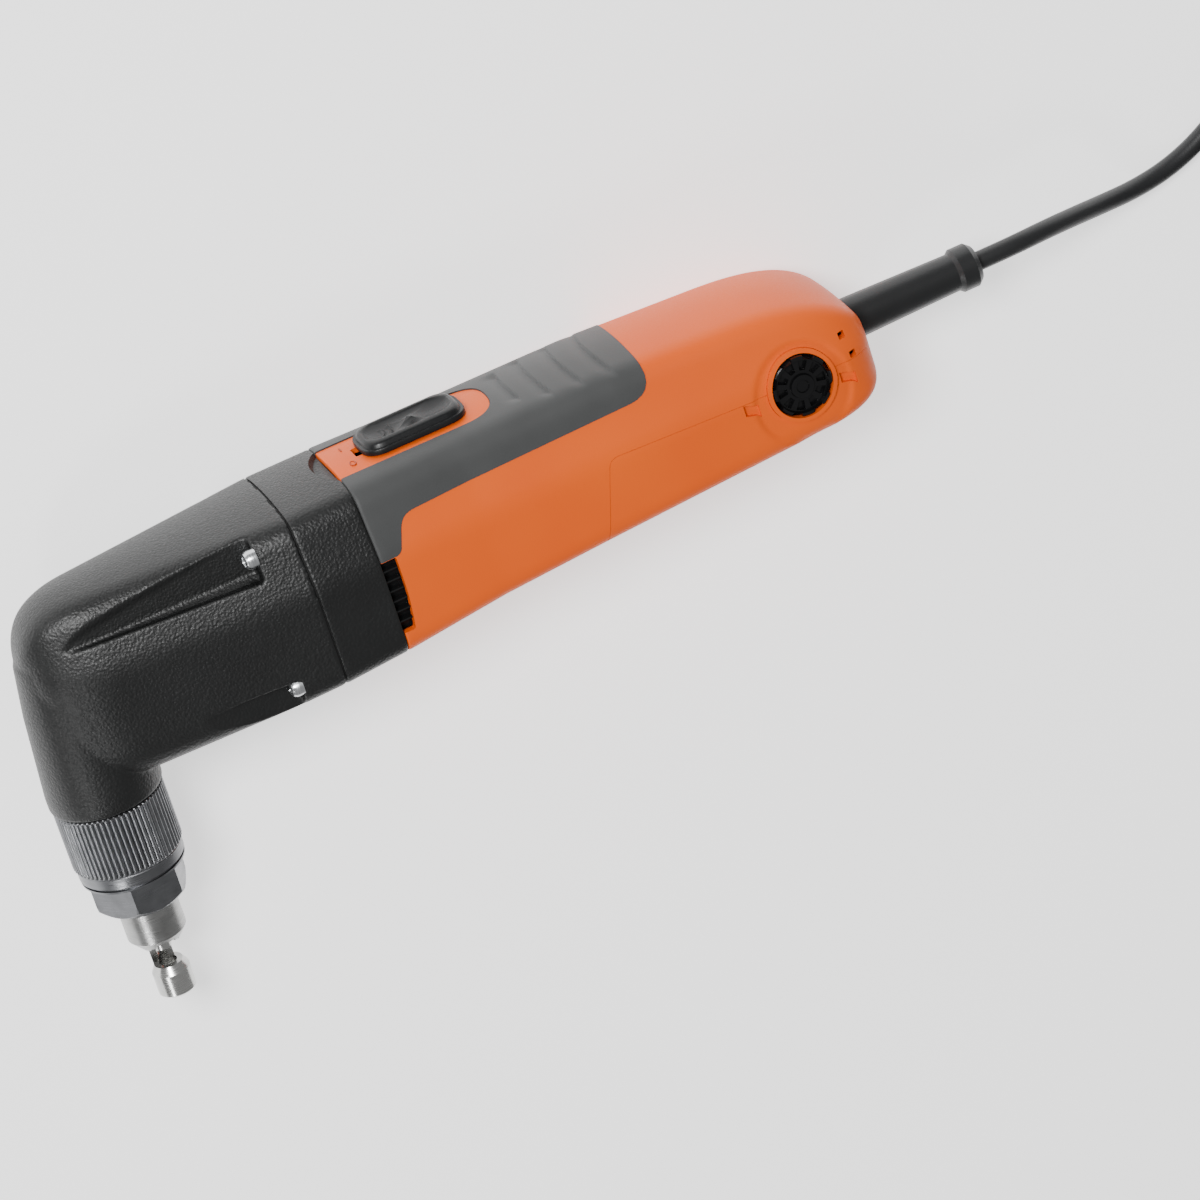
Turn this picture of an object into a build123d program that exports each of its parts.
from build123d import *
import math
import os

# A mains-powered sheet-metal nibbler: right-angle gear head, slim motor housing, turning die head.
# Tool axes: +X towards the cord, +Y towards the switch, +Z out of the left side. Millimetres.
# The tool lies on its right side, and the last step moves every piece to the middle of that footprint.

# ---------------------------------------------------------------- driving dimensions
nose_reach = 131.4            # from the motor axis plane y = 0 down to the tip of the die
head_length = 86.0            # nose axis to the gear head's rear face
flange_length = 24.0
housing_length = 193.0        # orange motor housing, flange to rear dome
head_front_half = 22.0        # half width of the head beside the nose axis
head_rear_half = 33.0
body_half = 30.6              # half width of the motor housing
head_top_front = 29.0
head_top = 30.3
body_top = 30.6
head_bottom_front = 41.6
head_bottom = 35.4
body_bottom_front = 33.8
body_bottom = 27.6            # housing underside at its middle
body_bottom_rear = 21.5
cast_wall = 3.5
plastic_wall = 2.8
grip_thickness = 1.5
shoulder_inset = 7.5          # shoulder line inside the side wall
shoulder_drop = 2.6           # shoulder line below the crown
crease_height = 3.0           # where the upright side meets the sloping upper side
shoulder_round = 12.0
crease_round = 22.0
bottom_round = 8.0
dome_length = 48.5
crown_power = 2.4              # fullness of the rear end: round crown, blunt sides and underside
side_power = 4.5
gasket_thickness = 0.6

fit_gap = 0.05                # radial running clearance
loose_gap = 0.3
join_gap = 0.15               # half of a visible joint between two shells

# gear train
motor_height = -1.5           # armature axis, in Y
crank_height = -10.0           # crank axis, in Y
eccentric_throw = 3.5
first_module = 0.5
first_pinion_teeth = 12
first_gear_teeth = 42
second_module = 0.65
second_pinion_teeth = 12
second_gear_teeth = 36
pressure_angle = math.radians(20)
addendum_share = 0.7
dedendum_share = 1.1
tooth_backlash = 0.06
first_gear_width = 6.0
second_gear_width = 9.0

# motor
shaft_radius = 4.0
core_radius = 15.0
air_gap = 0.5
stator_radius = 23.5
core_start = 165.0
core_length = 60.0
winding_overhang = 9.0
commutator_radius = 9.0
commutator_length = 18.0
fan_start = 112.0
fan_width = 11.0
fan_radius = 23.5
fan_blades = 11
fan_hub_radius = 8.0

# bearings: outer radius, bore, width
armature_bearing_radius = 11.0
armature_bearing_width = 7.0
rear_bearing_radius = 8.0
rear_bearing_width = 5.0
crank_shaft_radius = 6.0
crank_front_bearing_radius = 12.0
crank_rear_bearing_radius = 9.5
crank_bearing_width = 8.0
race_thickness = 1.6
layshaft_radius = 3.0
layshaft_bush_wall = 1.6
roller_radius = 5.0
pin_radius = 3.0

# ram and nose
ram_radius = 6.0
ram_bush_wall = 3.0
yoke_thickness = 8.0
yoke_rim = 2.5
neck_end = -49.5
neck_radius = 20.6
neck_top_radius = 14.5
spigot_radius = 15.5
spigot_length = 19.5
sleeve_radius = 20.0
sleeve_length = 23.8
knurl_teeth = 60
knurl_depth = 0.55
band_length = 4.6
band_radius = 18.8
nut_length = 14.4
nut_end_radius = 16.8
nut_flat_distance = 15.6
carrier_radius = 10.7
carrier_end = -111.0
carrier_taper = 4.5
carrier_tip_radius = 6.6
die_radius = 6.9
die_length = 11.7
die_cone = 3.0
die_face_radius = 5.2
die_bore = 3.25
stem_radius = 6.0
stem_rise = 30.0
web_turn = 19.0               # degrees from straight right, towards the front
punch_radius = 3.15
punch_head_radius = 4.6
punch_head_height = 3.0
punch_lift = 6.0              # punch tip above the die face at the top of the stroke

# switch, brush caps, strain relief
slider_front = 122.5
slider_length = 39.5
slider_width = 22.0
slider_height = 4.2
slider_travel = 8.0
switch_field_rear = 171.0
switch_field_half = 14.0
cap_x = 272.0
cap_radius = 11.2
cap_thickness = 3.4
cap_windows = 10
relief_base_radius = 7.8
relief_end_radius = 6.9
relief_bead_radius = 8.1
relief_length = 50.0
bead_length = 9.0
cord_radius = 3.5

# ---------------------------------------------------------------- places worked out from them
flange_start = head_length + gasket_thickness
housing_start = flange_start + flange_length
housing_end = housing_start + housing_length
dome_start = housing_end - dome_length
first_distance = first_module * (first_pinion_teeth + first_gear_teeth) / 2
second_distance = second_module * (second_pinion_teeth + second_gear_teeth) / 2
axis_drop = motor_height - crank_height
lay_drop = (first_distance**2 - second_distance**2 + axis_drop**2) / (2 * axis_drop)
lay_height = motor_height - lay_drop
lay_side = math.sqrt(first_distance**2 - lay_drop**2)
die_face = -nose_reach + die_length
stroke = 2 * eccentric_throw
pin_height = crank_height + eccentric_throw
core_end = core_start + core_length

os.makedirs("parts", exist_ok=True)
nodes = {}


def blend(value, start, end):
    """Share of the way from start to end, held between 0 and 1."""
    return min(max((value - start) / (end - start), 0), 1)


def between(share, first, last):
    return first + (last - first) * share


# ---------------------------------------------------------------- simple round stock
from_end = (Align.CENTER, Align.CENTER, Align.MIN)


def rod_x(start, end, radius, y=0.0, z=0.0):
    return Pos(start, y, z) * Rot(0, 90, 0) * Cylinder(radius, end - start, align=from_end)


def rod_y(low, high, radius, x=0.0, z=0.0):
    return Pos(x, low, z) * Rot(-90, 0, 0) * Cylinder(radius, high - low, align=from_end)


def rod_z(low, high, radius, x=0.0, y=0.0):
    return Pos(x, y, low) * Cylinder(radius, high - low, align=from_end)


def ring_x(start, end, outer, inner, y=0.0, z=0.0):
    return rod_x(start, end, outer, y, z) - rod_x(start, end, inner, y, z)


def ring_y(low, high, outer, inner, x=0.0, z=0.0):
    return rod_y(low, high, outer, x, z) - rod_y(low, high, inner, x, z)


def block(x_range, y_range, z_range):
    size = [high - low for low, high in (x_range, y_range, z_range)]
    return Pos(x_range[0], y_range[0], z_range[0]) * Box(*size, align=(Align.MIN, Align.MIN, Align.MIN))


def mirrored(piece):
    """The same piece on the right side."""
    return mirror(piece, about=Plane.XY)


def turned_y(points):
    """Round piece about the nose axis, from (radius, height) points."""
    with BuildPart() as piece:
        with BuildSketch(Plane.XY):
            with BuildLine():
                Polyline(*points, close=True)
            make_face()
        revolve(axis=Axis.Y)
    return piece.part


def turned_x(points):
    """Round piece about the X axis, from (distance, radius) points."""
    with BuildPart() as piece:
        with BuildSketch(Plane.XY):
            with BuildLine():
                Polyline(*points, close=True)
            make_face()
        revolve(axis=Axis.X)
    return piece.part


# ---------------------------------------------------------------- the body's outer form
def dome_share(x, power):
    """1 along the body, then a superellipse down to the rear end."""
    if x <= dome_start:
        return 1.0
    reach = (x - dome_start) / dome_length
    return max(1 - reach**power, 0.02) ** (1 / power)


def body_sizes(x):
    """Crown, underside and half width of the body at distance x from the nose axis."""
    head = blend(x, 0, head_length)
    if x <= housing_start:
        top = between(head, head_top_front, head_top)
        bottom = between(blend(x, 16, head_length), head_bottom_front, head_bottom)
        half = between(head, head_front_half, head_rear_half)
    else:
        front = blend(x, housing_start, housing_start + 80)
        rear = blend(x, housing_start + 80, housing_end)
        top = between(blend(x, housing_start + 100, housing_end), body_top, body_top - 5)
        bottom = between(front, body_bottom_front, body_bottom)
        bottom = between(rear, bottom, body_bottom_rear) if rear > 0 else bottom
        half = between(blend(x, housing_start, housing_start + 40), head_rear_half - 0.4, body_half)
    crown = dome_share(x, crown_power)
    side = dome_share(x, side_power)
    return top * crown, bottom * side, half * side


def body_outline(x, inset):
    """Closed outline across the body, moved inwards by inset."""
    top, bottom, half = body_sizes(x)
    share = dome_share(x, crown_power)
    top, bottom, half = top - inset, bottom - inset, half - inset
    shoulder = half - shoulder_inset * share
    shoulder_y = top - shoulder_drop * share
    crease = crease_height * share
    across = Plane(origin=(x, 0, 0), x_dir=(0, 1, 0), z_dir=(1, 0, 0))
    with BuildSketch(across) as sketch:
        with BuildLine():
            ThreePointArc((shoulder_y, -shoulder), (top, 0), (shoulder_y, shoulder))
            Polyline(
                (shoulder_y, shoulder),
                (crease, half),
                (-bottom, half),
                (-bottom, -half),
                (crease, -half),
                (shoulder_y, -shoulder),
            )
        make_face()
        corners = sketch.vertices()
        fillet([v for v in corners if abs(v.Y - shoulder_y) < 0.01], shoulder_round * share)
        fillet([v for v in sketch.vertices() if abs(v.Y - crease) < 0.01], crease_round * share)
        fillet([v for v in sketch.vertices() if abs(v.Y + bottom) < 0.01 and abs(abs(v.Z) - half) < 0.01],
               bottom_round * share)
    return sketch.sketch.faces()[0]


def body_form(stations, inset=0.0):
    return loft([body_outline(x, inset) for x in stations], ruled=True)


head_stations = [2.0, 30.0, 60.0, head_length]
flange_stations = [flange_start, housing_start]
housing_stations = [housing_start, housing_start + 40, housing_start + 80, housing_start + 115, dome_start]
housing_stations += [dome_start + dome_length * share for share in (0.3, 0.5, 0.66, 0.79, 0.89, 0.955)]


# ---------------------------------------------------------------- gear head
upper_screw = (21.0, 24.0)    # heights and sides of the four head screws
lower_screw = (-28.6, 27.4)
screw_head_radius = 3.4
screw_radius = 2.0
upper_screw_seat = 71.5
lower_screw_seat = 67.5
channel_radius = 8.3
channel_tip = (0.0, 15.5, 19.0)
ledge_radius = 4.6
yoke_half = roller_radius + eccentric_throw + 0.5
yoke_window_top = pin_height + stroke + roller_radius + 0.4
yoke_window_low = pin_height - stroke - roller_radius - 0.4
yoke_low = yoke_window_low - yoke_rim
yoke_top = yoke_window_top + yoke_rim
yoke_floor = yoke_low - stroke - 2.0
ram_end = neck_end + 3.0
carrier_top = neck_end - stroke + 1.0
carrier_collar_radius = carrier_radius + 0.6
detent_height = neck_end - 12.0
head_web_front = 11.0
head_web_rear = 57.0


def screw_channel(extra=0.0):
    """Tapered valley that lets a driver reach the upper left screw."""
    end = (upper_screw_seat, upper_screw[0] + 2.0, upper_screw[1] + 3.2)
    line = Vector(*end) - Vector(*channel_tip)
    axis = Plane(origin=channel_tip, z_dir=line)
    cone = Cone(0.3 + extra, channel_radius + extra, line.length, align=from_end)
    return axis * cone


def make_gear_head():
    outer = body_form(head_stations)
    well_radius = neck_radius - cast_wall - 3.1
    neck = turned_y([
        (0, 26.0), (7.0, 25.0), (11.5, 21.5), (neck_top_radius, 13.5), (17.4, -12.0),
        (neck_radius, -44.0), (neck_radius, neck_end + 1.2), (neck_radius - 1.2, neck_end), (0, neck_end),
    ])
    inner = body_form([6.0, 30.0, 60.0, head_length + 0.01], cast_wall)
    well = turned_y([(0, 19.0), (8.0, 17.5), (well_radius - 2.4, 13.0), (well_radius - 1.4, yoke_top + 0.5),
                     (well_radius, -12.0), (well_radius, yoke_floor), (0, yoke_floor)])
    cavity = inner + well
    shell = (outer + neck) - cavity
    for seat_start, seat_end in ((head_web_front, head_web_front + crank_bearing_width + 2),
                                 (head_web_rear, head_web_rear + crank_bearing_width + 2)):
        shell += inner & block((seat_start, seat_end), (-60, 60), (-40, 40))
    for side in (1, -1):
        boss = screw_channel(cast_wall - 0.5) & outer
        boss += rod_x(upper_screw_seat, head_length, screw_radius + 2.5, *upper_screw) & outer
        boss += rod_x(lower_screw_seat, head_length, screw_radius + 2.5, *lower_screw) & outer
        cut = screw_channel()
        cut += rod_x(upper_screw_seat - 4, upper_screw_seat, screw_head_radius + 0.4, *upper_screw)
        cut += rod_x(upper_screw_seat - 1, head_length + 1, screw_radius + 0.2, *upper_screw)
        cut += rod_x(14.0, lower_screw_seat, ledge_radius, lower_screw[0] - 1.2, lower_screw[1] + 1.6)
        cut += rod_x(lower_screw_seat - 4, lower_screw_seat, screw_head_radius + 0.4, *lower_screw)
        cut += rod_x(lower_screw_seat - 1, head_length + 1, screw_radius + 0.2, *lower_screw)
        if side < 0:
            boss = mirrored(boss)
            cut = mirrored(cut)
        shell = (shell + boss) - cut
    front_seat = rod_x(head_web_front + 1, head_web_front + 1 + crank_bearing_width,
                       crank_front_bearing_radius + fit_gap, crank_height)
    rear_seat = rod_x(head_web_rear + 1, head_web_rear + 1 + crank_bearing_width,
                      crank_rear_bearing_radius + fit_gap, crank_height)
    lay_seat = rod_x(head_web_rear, head_web_rear + crank_bearing_width + 3,
                     layshaft_radius + layshaft_bush_wall + fit_gap, lay_height, lay_side)
    shell -= front_seat + rear_seat + lay_seat
    shell -= rod_x(0, head_length, crank_shaft_radius + 2, crank_height)
    shell -= rod_y(neck_end - 1, yoke_floor + 1, ram_radius + ram_bush_wall + fit_gap)
    spigot_end = neck_end - spigot_length
    spigot = ring_y(spigot_end, neck_end + 0.01, spigot_radius, carrier_collar_radius + fit_gap)
    for side in (1, -1):
        spigot -= Pos(side * (spigot_radius - 2.1), detent_height, 0) * Rot(0, 90, 0) * Cylinder(1.6, 8)
    shell += spigot
    return shell


nodes["gear_head"] = make_gear_head()
print("gear head done")


def socket_screw(seat, height, side, length):
    head = rod_x(seat - 2.6, seat, screw_head_radius, height, side)
    head -= rod_x(seat - 2.7, seat - 1.2, 1.5, height, side)
    return head + rod_x(seat, seat + length, screw_radius, height, side)


screws = []
for height, side, seat in ((*upper_screw, upper_screw_seat), (*lower_screw, lower_screw_seat)):
    screws.append(socket_screw(seat, height, side, housing_start - seat - 8))
    screws.append(mirrored(screws[-1]))
nodes["head_screws"] = Compound(screws)


# ---------------------------------------------------------------- intermediate flange
louvre_low = -25.5
louvre_high = 3.0
louvre_depth = 5.5
louvre_count = 7
flange_plate_start = housing_start - 15.0
armature_seat = flange_plate_start + 5.0
lay_bush_length = 4.0


def make_flange():
    outer = body_form(flange_stations)
    inner = body_form([flange_start - 0.01, housing_start + 0.01], cast_wall)
    flange = outer - inner
    flange += inner & block((flange_plate_start, housing_start - 2.5), (-60, 60), (-40, 40))
    for height, side in (upper_screw, lower_screw):
        boss = rod_x(flange_start, housing_start - 4, screw_radius + 2.5, height, side) & outer
        hole = rod_x(flange_start - 1, housing_start - 6, screw_radius + fit_gap, height, side)
        flange += boss + mirrored(boss)
        flange -= hole + mirrored(hole)
    flange -= rod_x(armature_seat, housing_start, armature_bearing_radius + fit_gap, motor_height)
    flange -= rod_x(flange_plate_start - 1, housing_start, shaft_radius + 1.0, motor_height)
    flange -= rod_x(flange_plate_start - 1, flange_plate_start + lay_bush_length,
                    layshaft_radius + layshaft_bush_wall + fit_gap, lay_height, lay_side)
    pitch = (louvre_high - louvre_low) / louvre_count
    for index in range(louvre_count):
        low = louvre_low + pitch * index + 0.6
        slot = block((housing_start - louvre_depth, housing_start + 1), (low, low + pitch - 1.2), (20, 40))
        flange -= slot + mirrored(slot)
    scoop = rod_y(head_top - 1.2, head_top + 5, 15.0, housing_start + 6.5)
    flange -= scoop
    return flange


nodes["intermediate_flange"] = make_flange()
gasket = body_form([head_length, flange_start])
gasket -= body_form([head_length - 0.01, flange_start + 0.01], cast_wall - 0.5)
for height, side in (upper_screw, lower_screw):
    hole = rod_x(head_length - 1, flange_start + 1, screw_radius + 0.2, height, side)
    gasket -= hole + mirrored(hole)
nodes["head_gasket"] = gasket
print("flange done")


# ---------------------------------------------------------------- motor housing, lower cover and grip
housing_outer = body_form(housing_stations)
housing_inner = body_form([housing_start - 0.01] + housing_stations[1:-1], plastic_wall)
grip_skin = housing_outer - body_form(housing_stations, grip_thickness)
cover_line = [
    (housing_start + 88.5, crease_height), (housing_end + 10, -1.5), (housing_end + 10, -60),
    (housing_start + 72, -60), (housing_start + 79, -22),
]
seat_plate = 4.0
rod_height = stator_radius + motor_height + 1.0
rod_thickness = 1.8
rod_half = 5.0
rear_bearing_start = housing_end - 20.6
relief_start = housing_end - 7.3
relief_flange = 2.5
relief_flange_radius = relief_base_radius + 1.2
cap_boss_radius = cap_radius + 2.2
square_hole = 2.4
square_holes = ((291.5, 8.0), (293.0, 0.5))


def side_prism(points, half, inset=0.0):
    """Straight-sided block over a closed outline in side view."""
    with BuildPart() as prism:
        with BuildSketch(Plane.XY):
            with BuildLine():
                Polyline(*points, close=True)
            make_face()
            if inset:
                offset(amount=-inset, kind=Kind.INTERSECTION)
        extrude(amount=half, both=True)
    return prism.part


def grip_zone():
    side = side_prism([
        (housing_start, 3.6), (housing_start + 8.5, 3.6), (housing_start + 12.5, 12.0),
        (housing_start + 19, 16.0), (housing_start + 102, 17.6), (housing_start + 110, 24.0),
        (housing_start + 106, 60), (housing_start, 60),
    ], 60)
    half = switch_field_half
    field = block((housing_start - 1, switch_field_rear - 10), (8, 60), (-half, half))
    field += rod_y(8, 60, switch_field_half - 4, switch_field_rear - 10, 4)
    field += rod_y(8, 60, switch_field_half - 4, switch_field_rear - 10, -4)
    field += block((switch_field_rear - 12, switch_field_rear), (8, 60), (-4, 4))
    return side - field


def make_housings():
    shell = housing_outer - housing_inner
    shell += rod_x(relief_start + 0.1, housing_stations[-1] - 0.01, 11.0) & housing_outer
    for start in (core_start - seat_plate, core_end - seat_plate / 2, rear_bearing_start - 1):
        plate = housing_inner & block((start, start + seat_plate), (-60, 60), (-40, 40))
        plate -= block((start - 1, start + seat_plate + 1), (rod_height - 1, 60),
                       (-rod_half - 1, rod_half + 1))
        shell += plate
    shell -= rod_x(core_start - 2, core_end + 0.5, stator_radius + fit_gap, motor_height)
    shell -= rod_x(core_start - 6, core_end + 4, stator_radius - 1.0, motor_height)
    shell -= rod_x(rear_bearing_start, housing_end - 8, rear_bearing_radius + fit_gap, motor_height)
    shell -= rod_x(rear_bearing_start - 2, rear_bearing_start + 1, shaft_radius + 1, motor_height)
    slot_run = (slider_front - slider_travel + 6, slider_front + slider_length - 12)
    shell -= block(slot_run, (20, 60), (-3.5, 3.5))
    for x, y in square_holes:
        hole = block((x, x + square_hole), (y, y + square_hole), (10, 40))
        shell -= hole + mirrored(hole)
    shell -= rod_x(relief_start - 4, housing_end + 2, relief_base_radius + 0.1)
    shell -= rod_x(relief_start - relief_flange - 0.5, relief_start + 0.1, relief_flange_radius + 0.1)
    collar = rod_z(17.0, 40.0, cap_boss_radius, cap_x, motor_height) & housing_outer
    pocket = rod_z(-60, 60, cap_radius + 0.25, cap_x, motor_height)
    keep = rod_z(-60, 60, cap_boss_radius + join_gap, cap_x, motor_height)
    cover = (shell & side_prism(cover_line, 60, join_gap)) - keep
    main = shell - side_prism(cover_line, 60)
    boss = shell & rod_z(-60, 60, cap_boss_radius, cap_x, motor_height)
    main += boss + collar + mirrored(collar)
    grip = grip_skin & grip_zone()
    main = (main - grip) - pocket
    cover = cover - pocket
    return main, cover, grip


nodes["motor_housing"], nodes["lower_cover"], nodes["soft_grip"] = make_housings()
print("housings done")


# ---------------------------------------------------------------- gears
def gear(start, width, module, teeth, height, side, toward, gap_first, bore):
    """Spur gear along X. A tooth, or a gap, points at the angle toward, measured from +Y to +Z."""
    pitch = module * teeth / 2
    base = pitch * math.cos(pressure_angle)
    tip = pitch + addendum_share * module
    root = pitch - dedendum_share * module
    half_tooth = math.pi / (2 * teeth) - tooth_backlash / (2 * pitch)
    start_radius = max(base, root)
    involute_at_pitch = math.tan(pressure_angle) - pressure_angle
    flank = []
    for step in range(4):
        radius = between(step / 3, start_radius, tip)
        angle = math.acos(min(base / radius, 1.0))
        flank.append((radius, half_tooth + involute_at_pitch - (math.tan(angle) - angle)))
    if root < base:
        flank.insert(0, (root, flank[0][1]))
    points = []
    first = toward + (math.pi / teeth if gap_first else 0.0)
    for tooth in range(teeth):
        middle = first + 2 * math.pi * tooth / teeth
        for radius, half in flank:
            points.append((radius * math.cos(middle - half), radius * math.sin(middle - half)))
        for radius, half in reversed(flank):
            points.append((radius * math.cos(middle + half), radius * math.sin(middle + half)))
    across = Plane(origin=(start, height, side), x_dir=(0, 1, 0), z_dir=(1, 0, 0))
    with BuildPart() as wheel:
        with BuildSketch(across):
            with BuildLine():
                Polyline(*points, close=True)
            make_face()
            if bore:
                Circle(bore, mode=Mode.SUBTRACT)
        extrude(amount=width)
    return wheel.part


to_lay = math.atan2(lay_side, lay_height - motor_height)
lay_to_crank = math.atan2(-lay_side, crank_height - lay_height)
crank_to_lay = math.atan2(lay_side, lay_height - crank_height)
first_gear_start = flange_start + 1.6
second_gear_start = head_web_rear + crank_bearing_width + 4.5


# ---------------------------------------------------------------- armature
shaft_end = rear_bearing_start + rear_bearing_width
armature = gear(first_gear_start - 0.5, first_gear_width + 1.5, first_module, first_pinion_teeth,
                motor_height, 0, to_lay, False, 0)
armature += rod_x(first_gear_start + first_gear_width + 1.0, shaft_end, shaft_radius, motor_height)
nodes["armature_shaft"] = armature

core = rod_x(core_start, core_end, core_radius, motor_height)
for index in range(12):
    slot = block((core_start - 1, core_end + 1), (core_radius - 1.4, core_radius + 1), (-0.8, 0.8))
    core -= Pos(0, motor_height, 0) * Rot(30 * index, 0, 0) * slot
nodes["armature_core"] = core - rod_x(core_start - 1, core_end + 1, shaft_radius, motor_height)
windings = []
for start, end in ((core_start - winding_overhang, core_start), (core_end, core_end + winding_overhang)):
    windings.append(ring_x(start, end, core_radius - 2.5, shaft_radius, motor_height))
nodes["armature_windings"] = Compound(windings)

commutator_start = cap_x - commutator_length / 2
commutator = rod_x(commutator_start, commutator_start + commutator_length, commutator_radius, motor_height)
for index in range(16):
    slot = block((commutator_start - 1, commutator_start + commutator_length + 1),
                 (commutator_radius - 1.2, commutator_radius + 1), (-0.25, 0.25))
    commutator -= Pos(0, motor_height, 0) * Rot(22.5 * index, 0, 0) * slot
commutator -= rod_x(commutator_start - 1, cap_x + commutator_length, shaft_radius, motor_height)
nodes["commutator"] = commutator

fan = ring_x(fan_start, fan_start + fan_width, fan_hub_radius, shaft_radius, motor_height)
fan += ring_x(fan_start + fan_width - 1.6, fan_start + fan_width, fan_radius, shaft_radius, motor_height)
for index in range(fan_blades):
    blade = block((fan_start, fan_start + fan_width - 1), (fan_hub_radius - 1, fan_radius), (-0.6, 0.6))
    fan += Pos(0, motor_height, 0) * Rot(360 / fan_blades * index, 0, 0) * blade
nodes["cooling_fan"] = fan

# ---------------------------------------------------------------- stator
stator = rod_x(core_start, core_end, stator_radius, motor_height)
stator -= rod_x(core_start - 1, core_end + 1, core_radius + air_gap, motor_height)
coil_pocket = 0.65 * (stator_radius - core_radius)
pocket = block((core_start - 1, core_end + 1), (-6, 6), (core_radius, core_radius + coil_pocket))
stator -= Pos(0, motor_height, 0) * (pocket + mirrored(pocket))
nodes["stator_core"] = stator
coils = []
for start, end in ((core_start - winding_overhang, core_start), (core_end, core_end + winding_overhang)):
    coils.append(ring_x(start, end, stator_radius - 3.5, core_radius + 1.0, motor_height))
nodes["field_windings"] = Compound(coils)


# ---------------------------------------------------------------- bearings
def races(start, width, outer, bore, height, side=0.0):
    """Outer race, inner race and balls of one bearing."""
    outside = ring_x(start, start + width, outer, outer - race_thickness, height, side)
    inside = ring_x(start, start + width, bore + race_thickness, bore, height, side)
    middle = (outer + bore) / 2
    ball = (outer - bore) / 2 - race_thickness - fit_gap / 2
    balls = []
    for index in range(7):
        angle = 2 * math.pi * index / 7
        place = (start + width / 2, height + middle * math.cos(angle), side + middle * math.sin(angle))
        balls.append(Pos(*place) * Sphere(ball))
    return outside, inside, balls


bearings = {
    "armature": [
        races(armature_seat, armature_bearing_width, armature_bearing_radius, shaft_radius, motor_height),
        races(rear_bearing_start, rear_bearing_width, rear_bearing_radius, shaft_radius, motor_height),
    ],
    "crank": [
        races(head_web_front + 1, crank_bearing_width, crank_front_bearing_radius, crank_shaft_radius,
              crank_height),
        races(head_web_rear + 1, crank_bearing_width, crank_rear_bearing_radius, crank_shaft_radius - 1,
              crank_height),
    ],
}
outer_races, balls = [], []
for name, pair in bearings.items():
    outer_races += [one[0] for one in pair]
    nodes[name + "_inner_races"] = Compound([one[1] for one in pair])
    for one in pair:
        balls += one[2]
nodes["bearing_outer_races"] = Compound(outer_races)
nodes["bearing_balls"] = Compound(balls)

# ---------------------------------------------------------------- layshaft
lay_front = head_web_rear + 3.0
lay_end = flange_plate_start + lay_bush_length - 0.3
layshaft = rod_x(lay_front, lay_end, layshaft_radius, lay_height, lay_side)
pinion_end = second_gear_start + second_gear_width + 0.5
layshaft += gear(second_gear_start - 0.5, second_gear_width + 1, second_module, second_pinion_teeth,
                 lay_height, lay_side, lay_to_crank, False, 0)
nodes["layshaft"] = layshaft
lay_gear = gear(first_gear_start, first_gear_width, first_module, first_gear_teeth,
                lay_height, lay_side, to_lay + math.pi, True, layshaft_radius)
lay_gear += ring_x(pinion_end + 0.3, first_gear_start, layshaft_radius + 2, layshaft_radius,
                   lay_height, lay_side)
nodes["layshaft_gear"] = lay_gear
bush_outer = layshaft_radius + layshaft_bush_wall
bushes = []
for start, end in ((lay_front, head_web_rear + crank_bearing_width + 2),
                   (flange_plate_start, flange_plate_start + lay_bush_length)):
    bushes.append(ring_x(start, end, bush_outer, layshaft_radius + fit_gap, lay_height, lay_side))
nodes["layshaft_bushes"] = Compound(bushes)

# ---------------------------------------------------------------- crank
web_start = yoke_thickness / 2 + 1.0
crank = rod_x(-yoke_thickness / 2 - 0.5, web_start + 0.5, pin_radius, pin_height)
crank += rod_x(web_start, web_start + 4.5, crank_shaft_radius + eccentric_throw + 0.5, crank_height)
crank += rod_x(web_start + 4, head_web_rear + 0.5, crank_shaft_radius, crank_height)
crank_end = second_gear_start + second_gear_width + 1
crank += rod_x(head_web_rear, crank_end, crank_shaft_radius - 1, crank_height)
nodes["crankshaft"] = crank
nodes["crank_gear"] = gear(second_gear_start, second_gear_width, second_module, second_gear_teeth,
                           crank_height, 0, crank_to_lay, True, crank_shaft_radius - 1)
roller_half = yoke_thickness / 2
nodes["crank_roller"] = ring_x(-roller_half, roller_half, roller_radius, pin_radius, pin_height)

# ---------------------------------------------------------------- ram and yoke
yoke_outer_half = yoke_half + yoke_rim
yoke = block((-yoke_thickness / 2, yoke_thickness / 2), (yoke_low, yoke_top),
             (-yoke_outer_half, yoke_outer_half))
yoke -= block((-yoke_thickness, yoke_thickness), (yoke_window_low, yoke_window_top), (-yoke_half, yoke_half))
nodes["ram_yoke"] = yoke
ram = rod_y(ram_end, yoke_low, ram_radius)
socket_top = ram_end + punch_head_height + 1.8
ram -= rod_y(ram_end + 1.5, socket_top, punch_head_radius + 0.2)
ram -= rod_y(ram_end - 1, ram_end + 2, punch_radius + 0.2)
nodes["ram"] = ram
nodes["ram_bush"] = ring_y(neck_end + 2.5, yoke_floor, ram_radius + ram_bush_wall, ram_radius + fit_gap)

# ---------------------------------------------------------------- punch, die and their turning head
punch = rod_y(die_face + punch_lift, ram_end + 2, punch_radius)
punch += rod_y(ram_end + 1.6, ram_end + 1.6 + punch_head_height, punch_head_radius)
nodes["punch"] = punch

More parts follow.
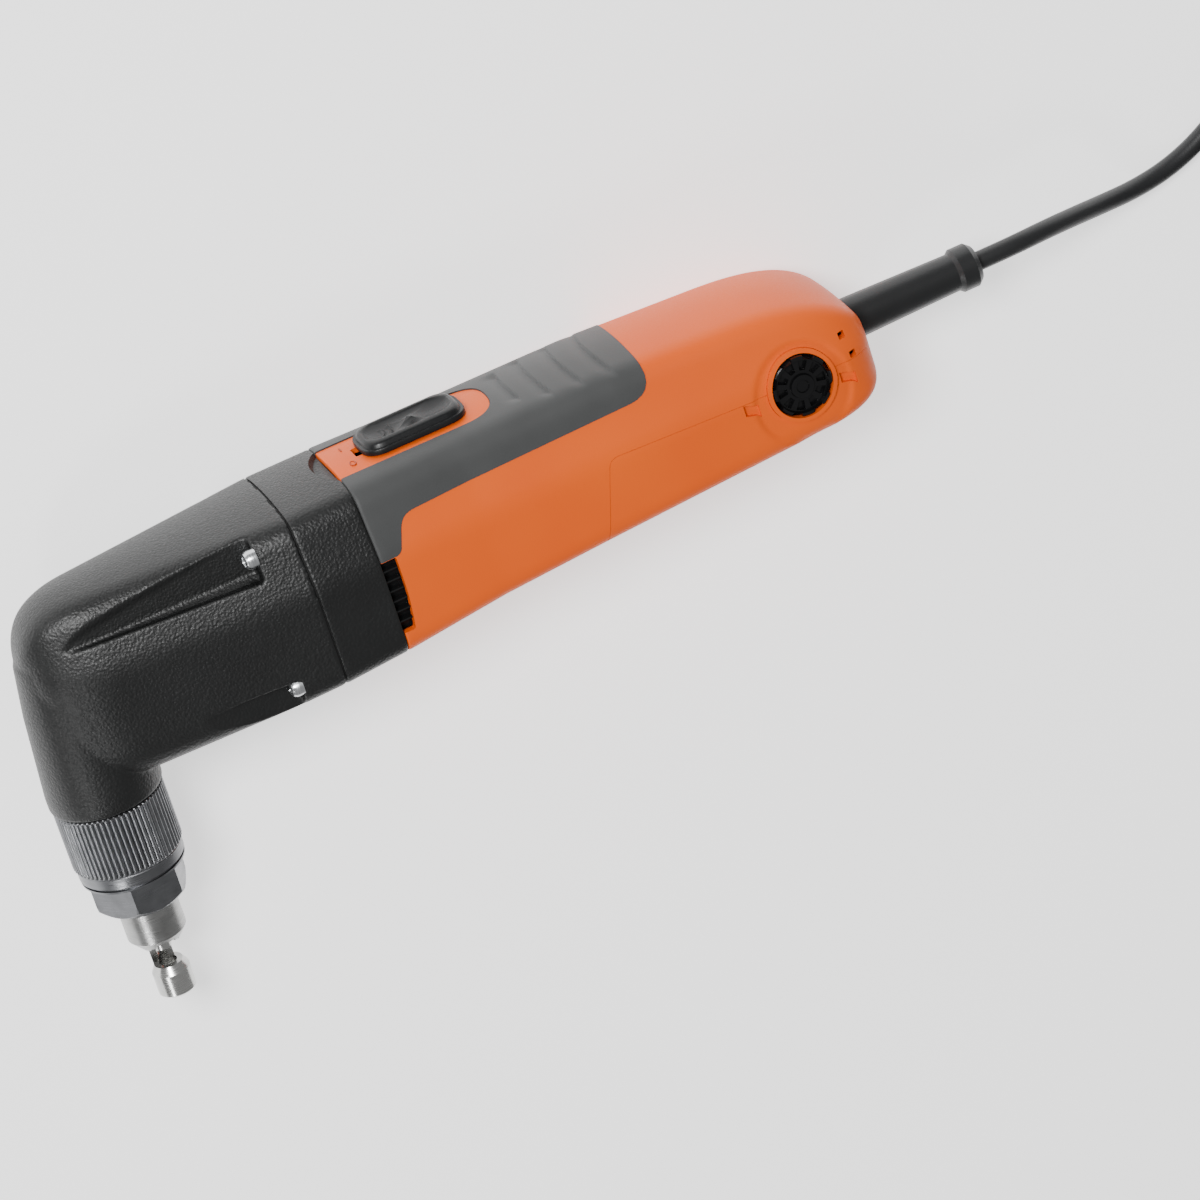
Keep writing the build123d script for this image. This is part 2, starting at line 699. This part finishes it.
sleeve_top = neck_end - 0.3
sleeve_low = sleeve_top - sleeve_length
sleeve = ring_y(sleeve_low, sleeve_top, sleeve_radius, spigot_radius + loose_gap)
for index in range(knurl_teeth):
    groove = Pos(sleeve_radius, sleeve_low - 1, 0) * Rot(-90, 0, 0) * Rot(0, 0, 45)
    groove = groove * Box(knurl_depth * 1.42, knurl_depth * 1.42, sleeve_length + 2,
                          align=(Align.CENTER, Align.CENTER, Align.MIN))
    sleeve -= Rot(0, 360 / knurl_teeth * index, 0) * groove
nodes["knurled_sleeve"] = sleeve

nut_top = sleeve_low
nut_low = nut_top - band_length - nut_length
nut = turned_y([
    (carrier_radius + fit_gap, nut_top), (band_radius + 0.4, nut_top),
    (band_radius + 0.4, nut_top - band_length),
    (band_radius, nut_top - band_length - 0.4), (nut_end_radius + 0.8, nut_low + 2.4),
    (nut_end_radius - 1.6, nut_low), (carrier_radius + fit_gap, nut_low),
])
for turn in range(0, 360, 60):
    flat = block((-20, 20), (nut_low - 1, nut_top - band_length - 0.4), (nut_flat_distance, 30))
    nut -= Rot(0, turn + 8, 0) * flat
nodes["clamping_nut"] = nut

carrier = turned_y([
    (stem_radius + fit_gap, carrier_top), (carrier_collar_radius, carrier_top),
    (carrier_collar_radius, carrier_top - 5), (carrier_radius, carrier_top - 5),
    (carrier_radius, carrier_end + carrier_taper), (carrier_tip_radius + 0.6, carrier_end),
    (stem_radius + fit_gap, carrier_end),
])
guide_slot = block((-3.6, 3.6), (carrier_end - 1, carrier_end + 2.6), (2.0, 20))
guide_slot += block((-5.2, 5.2), (carrier_end - 1, carrier_end + 1.2), (4.5, 20))
set_screw_height = nut_low + 9.0
set_screw_turn = Rot(0, 40, 0)
screw_hole = set_screw_turn * rod_x(stem_radius - 1, carrier_radius + 1, 1.85, set_screw_height)
nodes["die_carrier"] = carrier - guide_slot - screw_hole

die = turned_y([
    (die_bore, die_face), (die_face_radius, die_face), (die_radius, die_face - die_cone),
    (die_radius, -nose_reach + 0.7), (die_radius - 0.7, -nose_reach), (die_bore, -nose_reach),
])
stem = ring_y(carrier_end, carrier_end + stem_rise, stem_radius, die_bore)
stem -= block((-3.6, 3.6), (carrier_end - 1, carrier_end + 2.6), (2.0, 20))
web = ring_y(die_face - die_cone, carrier_end + 0.5, die_face_radius, die_bore)
web &= block((-10, 10), (-200, 0), (-10, -2.6))
die += stem + Rot(0, web_turn, 0) * web
nodes["die"] = die
bush_low = carrier_end + stem_rise + 0.2
nodes["punch_guide"] = ring_y(bush_low, carrier_top, stem_radius, punch_radius + fit_gap)
nodes["set_screw"] = set_screw_turn * rod_x(stem_radius + 0.3, carrier_radius - 0.5, 1.8, set_screw_height)
detents = [Pos(side * (spigot_radius - 1.6), detent_height, 0) * Sphere(1.5) for side in (1, -1)]
nodes["detent_balls"] = Compound(detents)
nodes["spigot_ring"] = ring_y(neck_end - spigot_length + 0.6, neck_end - spigot_length + 2.6,
                              carrier_collar_radius, carrier_radius + fit_gap)
print("nose done")

# ---------------------------------------------------------------- switch
slider_rear = slider_front + slider_length
slider_base = body_top + 0.15
with BuildPart() as slider_builder:
    with BuildSketch(Plane(origin=(0, slider_base, 0), x_dir=(1, 0, 0), z_dir=(0, 1, 0))):
        with Locations(((slider_front + slider_rear) / 2, 0)):
            RectangleRounded(slider_length, slider_width, 4.5)
    extrude(amount=slider_height)
    fillet(slider_builder.faces().sort_by(Axis.Y)[-1].edges(), 0.9)
slider = slider_builder.part
dish_sphere = 12.9
dish_level = slider_base + slider_height + dish_sphere - 1.5
for middle in (slider_front + 12.0, slider_rear - 11.5):
    slider -= Pos(middle, dish_level, 0) * Sphere(dish_sphere)
stem_front = slider_front + 12.0
slider += block((stem_front, stem_front + 12), (rod_height + rod_thickness, slider_base + 0.5), (-3.0, 3.0))
nodes["switch_slider"] = slider
switch_start = core_end + 21.0
rod_top = rod_height + rod_thickness - 0.02
switch_rod = block((stem_front, switch_start), (rod_height, rod_top), (-rod_half, rod_half))
switch_rod += block((switch_start - 3, switch_start), (14, rod_height + 0.5), (-3, 3))
nodes["switch_rod"] = switch_rod
switch_block = block((switch_start + slider_travel + 1, switch_start + 30), (9.5, 21.5), (-8, 8))
switch_block += block((switch_start + 1.0, switch_start + slider_travel + 1), (13, 20), (-3, 3))
nodes["switch_block"] = switch_block
nodes["suppressor"] = block((switch_start + 2, switch_start + 18), (-19.5, -12.5), (-8, 8))

# ---------------------------------------------------------------- brush gear, one set each side
brush_side = 3.0
holder_wall = 1.2
brush_low = commutator_radius + 0.1
holder_low = commutator_radius + 1.6
holder_high = 20.5
holder_half = brush_side + holder_wall
holder = block((cap_x - holder_half, cap_x + holder_half),
               (motor_height - holder_half, motor_height + holder_half), (holder_low, holder_high))
slide_half = brush_side + fit_gap
holder -= block((cap_x - slide_half, cap_x + slide_half),
                (motor_height - slide_half, motor_height + slide_half), (0, holder_high + 1))
nodes["brush_holders"] = Compound([holder, mirrored(holder)])
brush_length = 6.0
brush = block((cap_x - brush_side, cap_x + brush_side),
              (motor_height - brush_side, motor_height + brush_side), (brush_low, brush_low + brush_length))
nodes["carbon_brushes"] = Compound([brush, mirrored(brush)])
spring_low = brush_low + brush_length + 0.5
spring_turn = 1.1
spring_path = Pos(cap_x, motor_height, spring_low) * Helix(spring_turn, 4 * spring_turn, 2.2)
spring_wire = Plane(origin=spring_path @ 0, z_dir=spring_path % 0) * Circle(0.3)
spring = sweep(spring_wire, path=spring_path, is_frenet=True)
nodes["brush_springs"] = Compound([spring, mirrored(spring)])

cap_high = body_sizes(cap_x)[2] - 0.4
cap_low = cap_high - cap_thickness


def ring_z(low, high, outer, inner):
    """Ring about the brush cap's axis."""
    return rod_z(low, high, outer, cap_x, motor_height) - rod_z(low, high, inner, cap_x, motor_height)


def make_cap():
    cap = rod_z(cap_low, cap_high, cap_radius, cap_x, motor_height)
    middle = Pos(cap_x, motor_height, 0)
    for index in range(cap_windows):
        window = block((4.2, 8.8), (-0.95, 0.95), (cap_low - 1, cap_high + 1))
        cap -= middle * Rot(0, 0, 360 / cap_windows * index) * window
    for index in range(6):
        notch = block((cap_radius - 1.1, cap_radius + 1), (-1.3, 1.3), (cap_high - 1.4, cap_high + 1))
        cap -= middle * Rot(0, 0, 60 * index + 20) * notch
    cap -= ring_z(cap_high - 0.5, cap_high + 1, 9.4, 3.6)
    cap += ring_z(cap_low - 4.2, cap_low, 3.6, 2.6)
    return cap


nodes["left_brush_cap"] = make_cap()
nodes["right_brush_cap"] = mirrored(nodes["left_brush_cap"])
print("brush gear done")

# ---------------------------------------------------------------- strain relief and cord inside
relief_face = housing_end + relief_length
nodes["strain_relief"] = turned_x([
    (relief_start - relief_flange, cord_radius), (relief_start - relief_flange, relief_flange_radius),
    (relief_start, relief_flange_radius), (relief_start, relief_base_radius),
    (housing_end + 1.5, relief_base_radius), (relief_face - bead_length, relief_end_radius),
    (relief_face - bead_length + 1.5, relief_bead_radius), (relief_face - 2.0, relief_bead_radius),
    (relief_face, relief_end_radius - 0.5), (relief_face, cord_radius),
])
clamp_start = relief_start - 6.8
nodes["inner_cord"] = rod_x(clamp_start - 0.8, relief_face, cord_radius)
clamp = block((clamp_start, clamp_start + 4.0), (cord_radius + 0.02, cord_radius + 3.0), (-9, 9))
nodes["cord_clamp"] = clamp
clamp_screws = []
for side in (6.4, -6.4):
    clamp_screws.append(rod_y(-6.0, cord_radius + 3.0, 1.2, clamp_start + 2.0, side))
clamp_screws = [one - clamp for one in clamp_screws]
nodes["clamp_screws"] = Compound([
    one + rod_y(cord_radius + 3.0, cord_radius + 4.6, 2.3, clamp_start + 2.0, side)
    for one, side in zip(clamp_screws, (6.4, -6.4))
])

# ---------------------------------------------------------------- free cord, its coil and its plug
# Route of the lead, as steps from the centre of the strain relief's end face.
lead_route = [
    (0, 0, 0), (14.0, 0, 0), (28.6, -1.6, -4.4), (43.0, -5.0, -11.6), (57.4, -9.0, -19.5),
    (72.4, -12.0, -25.8), (87.4, -11.5, -29.0), (101.9, -6.5, -29.5), (115.4, 2.0, -29.5),
    (129.4, 10.2, -29.5), (143.9, 17.5, -29.5),
]
coil_centre = (168.4, -29.0)
coil_middle = 42.0
coil_half = 14.0
coil_height = 28.0
tail_route = [
    (220.9, -29.0, -8.5), (221.4, -44.0, -12.0), (221.6, -59.0, -17.5), (221.0, -74.0, -22.5),
    (219.9, -89.0, -25.0),
]
plug_rise = 8.0               # pin axes above the surface
pin_pitch = 19.0
plug_pin_radius = 2.4
plug_pin_length = 19.0
floor_height = -head_rear_half


def cord_tube(name, steps):
    """Straight runs joined by arcs, each as large as its two runs allow."""
    points = [Vector(relief_face + x, y, z) for x, y, z in steps]
    radii = []
    for before, corner, after in zip(points, points[1:], points[2:]):
        first, second = corner - before, after - corner
        half_turn = math.radians(first.get_angle(second)) / 2
        radii.append(0.45 * min(first.length, second.length) / math.tan(half_turn))
    print(name, "radii", [round(radius) for radius in radii])
    path = FilletPolyline(*points, radius=radii)
    section = Plane(origin=points[0], z_dir=points[1] - points[0]) * Circle(cord_radius)
    tube = sweep(section, path=path)
    share = tube.volume / (math.pi * cord_radius**2 * path.length)
    print(name, "length", round(path.length), "volume share", round(share, 4))
    return tube


nodes["cord_lead"] = cord_tube("lead", lead_route)
coil_x = relief_face + coil_centre[0]
coil_y = coil_centre[1]
coil_section = Plane.XZ * Pos(coil_middle, floor_height + coil_height / 2) * RectangleRounded(
    2 * coil_half, coil_height, 6.0)
nodes["cord_coil"] = Pos(coil_x, coil_y, 0) * revolve(coil_section, axis=Axis.Z)
tie_outer = Pos(coil_x - coil_middle, coil_y, floor_height + coil_height / 2) * Box(
    2 * coil_half + 2.4, 16.0, coil_height + 2.4)
tie_outer &= block((0, 900), (-300, 300), (floor_height, 60))
tie_inner = Pos(coil_x - coil_middle, coil_y, floor_height + coil_height / 2) * Box(
    2 * coil_half + 0.2, 18.0, coil_height)
nodes["cord_tie"] = tie_outer - tie_inner
nodes["cord_tail"] = cord_tube("tail", tail_route)
tail_end = tail_route[-1]
plug_x = relief_face + tail_end[0]
plug_y = tail_end[1]
plug_z = floor_height + plug_rise
plug_face = plug_y - 56.0
plug = Pos(plug_x, plug_y, plug_z) * Rot(90, 0, 0) * Cone(cord_radius + 1.2, 6.4, 22.0, align=from_end)
with BuildPart() as plug_builder:
    for distance, wide, thick in ((20.0, 13.0, 12.0), (34.0, 30.0, 15.0), (56.0, 35.5, 15.8)):
        place = (plug_x, plug_y - distance, plug_z)
        with BuildSketch(Plane(origin=place, x_dir=(1, 0, 0), z_dir=(0, -1, 0))):
            RectangleRounded(wide, thick, 5.5)
    loft()
nodes["plug_body"] = plug + plug_builder.part
pins = []
for pin_x in (plug_x - pin_pitch / 2, plug_x + pin_pitch / 2):
    pins.append(rod_y(plug_face - plug_pin_length, plug_face, plug_pin_radius, pin_x, plug_z))
nodes["plug_pins"] = Compound(pins)

# ---------------------------------------------------------------- to the middle of the footprint
shift = Pos(
    -(relief_face - neck_radius) / 2,
    -(slider_base + slider_height - nose_reach) / 2,
    head_rear_half,
)
print("shift", shift.position)
for name, shape in nodes.items():
    export_step(shift * shape, f"parts/{name}.step")
print(len(nodes), "nodes written")
